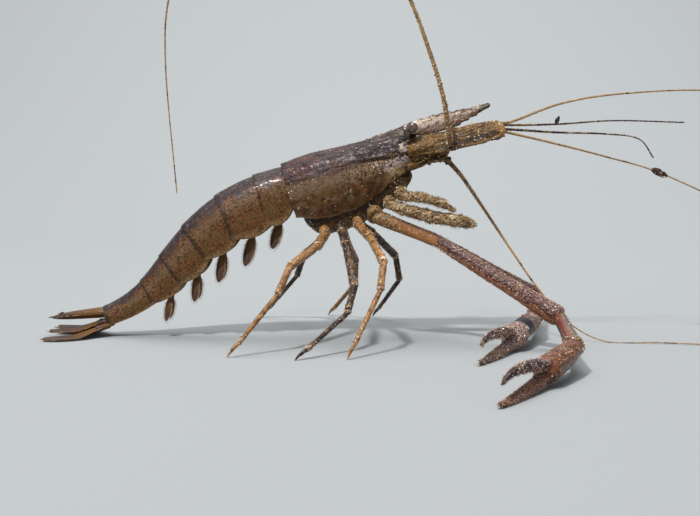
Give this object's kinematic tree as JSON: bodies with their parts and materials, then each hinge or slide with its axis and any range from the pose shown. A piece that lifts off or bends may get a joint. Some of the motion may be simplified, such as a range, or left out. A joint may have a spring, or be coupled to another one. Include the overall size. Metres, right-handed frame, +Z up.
{
  "type": "long-armed river prawn",
  "caption": "Life-size long-armed river prawn standing on its walking legs, head raised, long feelers out and slender claw arms bent round to its right.",
  "frame": {"origin": "centre of the bounding box, at the height of the floor that it stands on", "axes": "+X to the head, +Y to the animal's left, +Z up"},
  "size_m": [0.1652, 0.118, 0.1033],
  "materials": {
    "olive_shell": "wet olive-brown shell",
    "plum_shell": "dark plum and orange-brown shell",
    "amber_leg": "tan to orange shell",
    "horn_feeler": "horn brown",
    "eye_brown": "glossy dark brown",
    "fan_blade": "thin horn-coloured blades"
  },
  "bodies": {
    "root": {"abdomen_1": "olive_shell", "abdomen_2": "olive_shell", "abdomen_3": "olive_shell", "abdomen_4": "olive_shell", "abdomen_5": "olive_shell", "abdomen_6": "olive_shell", "antenna_base_left": "horn_feeler", "antenna_base_right": "horn_feeler", "antenna_lash_left_root": "horn_feeler", "antenna_lash_left_tip": "horn_feeler", "antenna_lash_right_middle": "horn_feeler", "antenna_lash_right_root": "horn_feeler", "antenna_lash_right_tip": "horn_feeler", "antennal_scale_left": "olive_shell", "antennal_scale_right": "olive_shell", "antennule_base_left": "horn_feeler", "antennule_base_right": "horn_feeler", "antennule_inner_lash_left": "horn_feeler", "antennule_inner_lash_right": "horn_feeler", "antennule_outer_lash_left": "horn_feeler", "antennule_outer_lash_right": "horn_feeler", "arm_carpus_left": "plum_shell", "arm_carpus_right": "plum_shell", "arm_finger_left": "plum_shell", "arm_finger_right": "plum_shell", "arm_merus_left": "plum_shell", "arm_merus_right": "plum_shell", "arm_palm_left": "plum_shell", "arm_palm_right": "plum_shell", "carapace": "olive_shell", "eye_left": "eye_brown", "eye_right": "eye_brown", "leg1_left": "amber_leg", "leg1_right": "amber_leg", "leg3_left": "amber_leg", "leg3_right": "amber_leg", "leg4_left": "amber_leg", "leg4_right": "amber_leg", "leg5_left": "amber_leg", "leg5_right": "amber_leg", "maxilliped_left": "amber_leg", "maxilliped_right": "amber_leg", "rostrum": "olive_shell", "swimmeret1_left": "fan_blade", "swimmeret1_right": "fan_blade", "swimmeret2_left": "fan_blade", "swimmeret2_right": "fan_blade", "swimmeret3_left": "fan_blade", "swimmeret3_right": "fan_blade", "swimmeret4_left": "fan_blade", "swimmeret4_right": "fan_blade", "swimmeret5_left": "fan_blade", "swimmeret5_right": "fan_blade", "telson": "fan_blade", "thorax_underside": "olive_shell", "uropod_inner_left": "fan_blade", "uropod_inner_right": "fan_blade", "uropod_outer_left": "fan_blade", "uropod_outer_right": "fan_blade"}
  },
  "joints": []
}
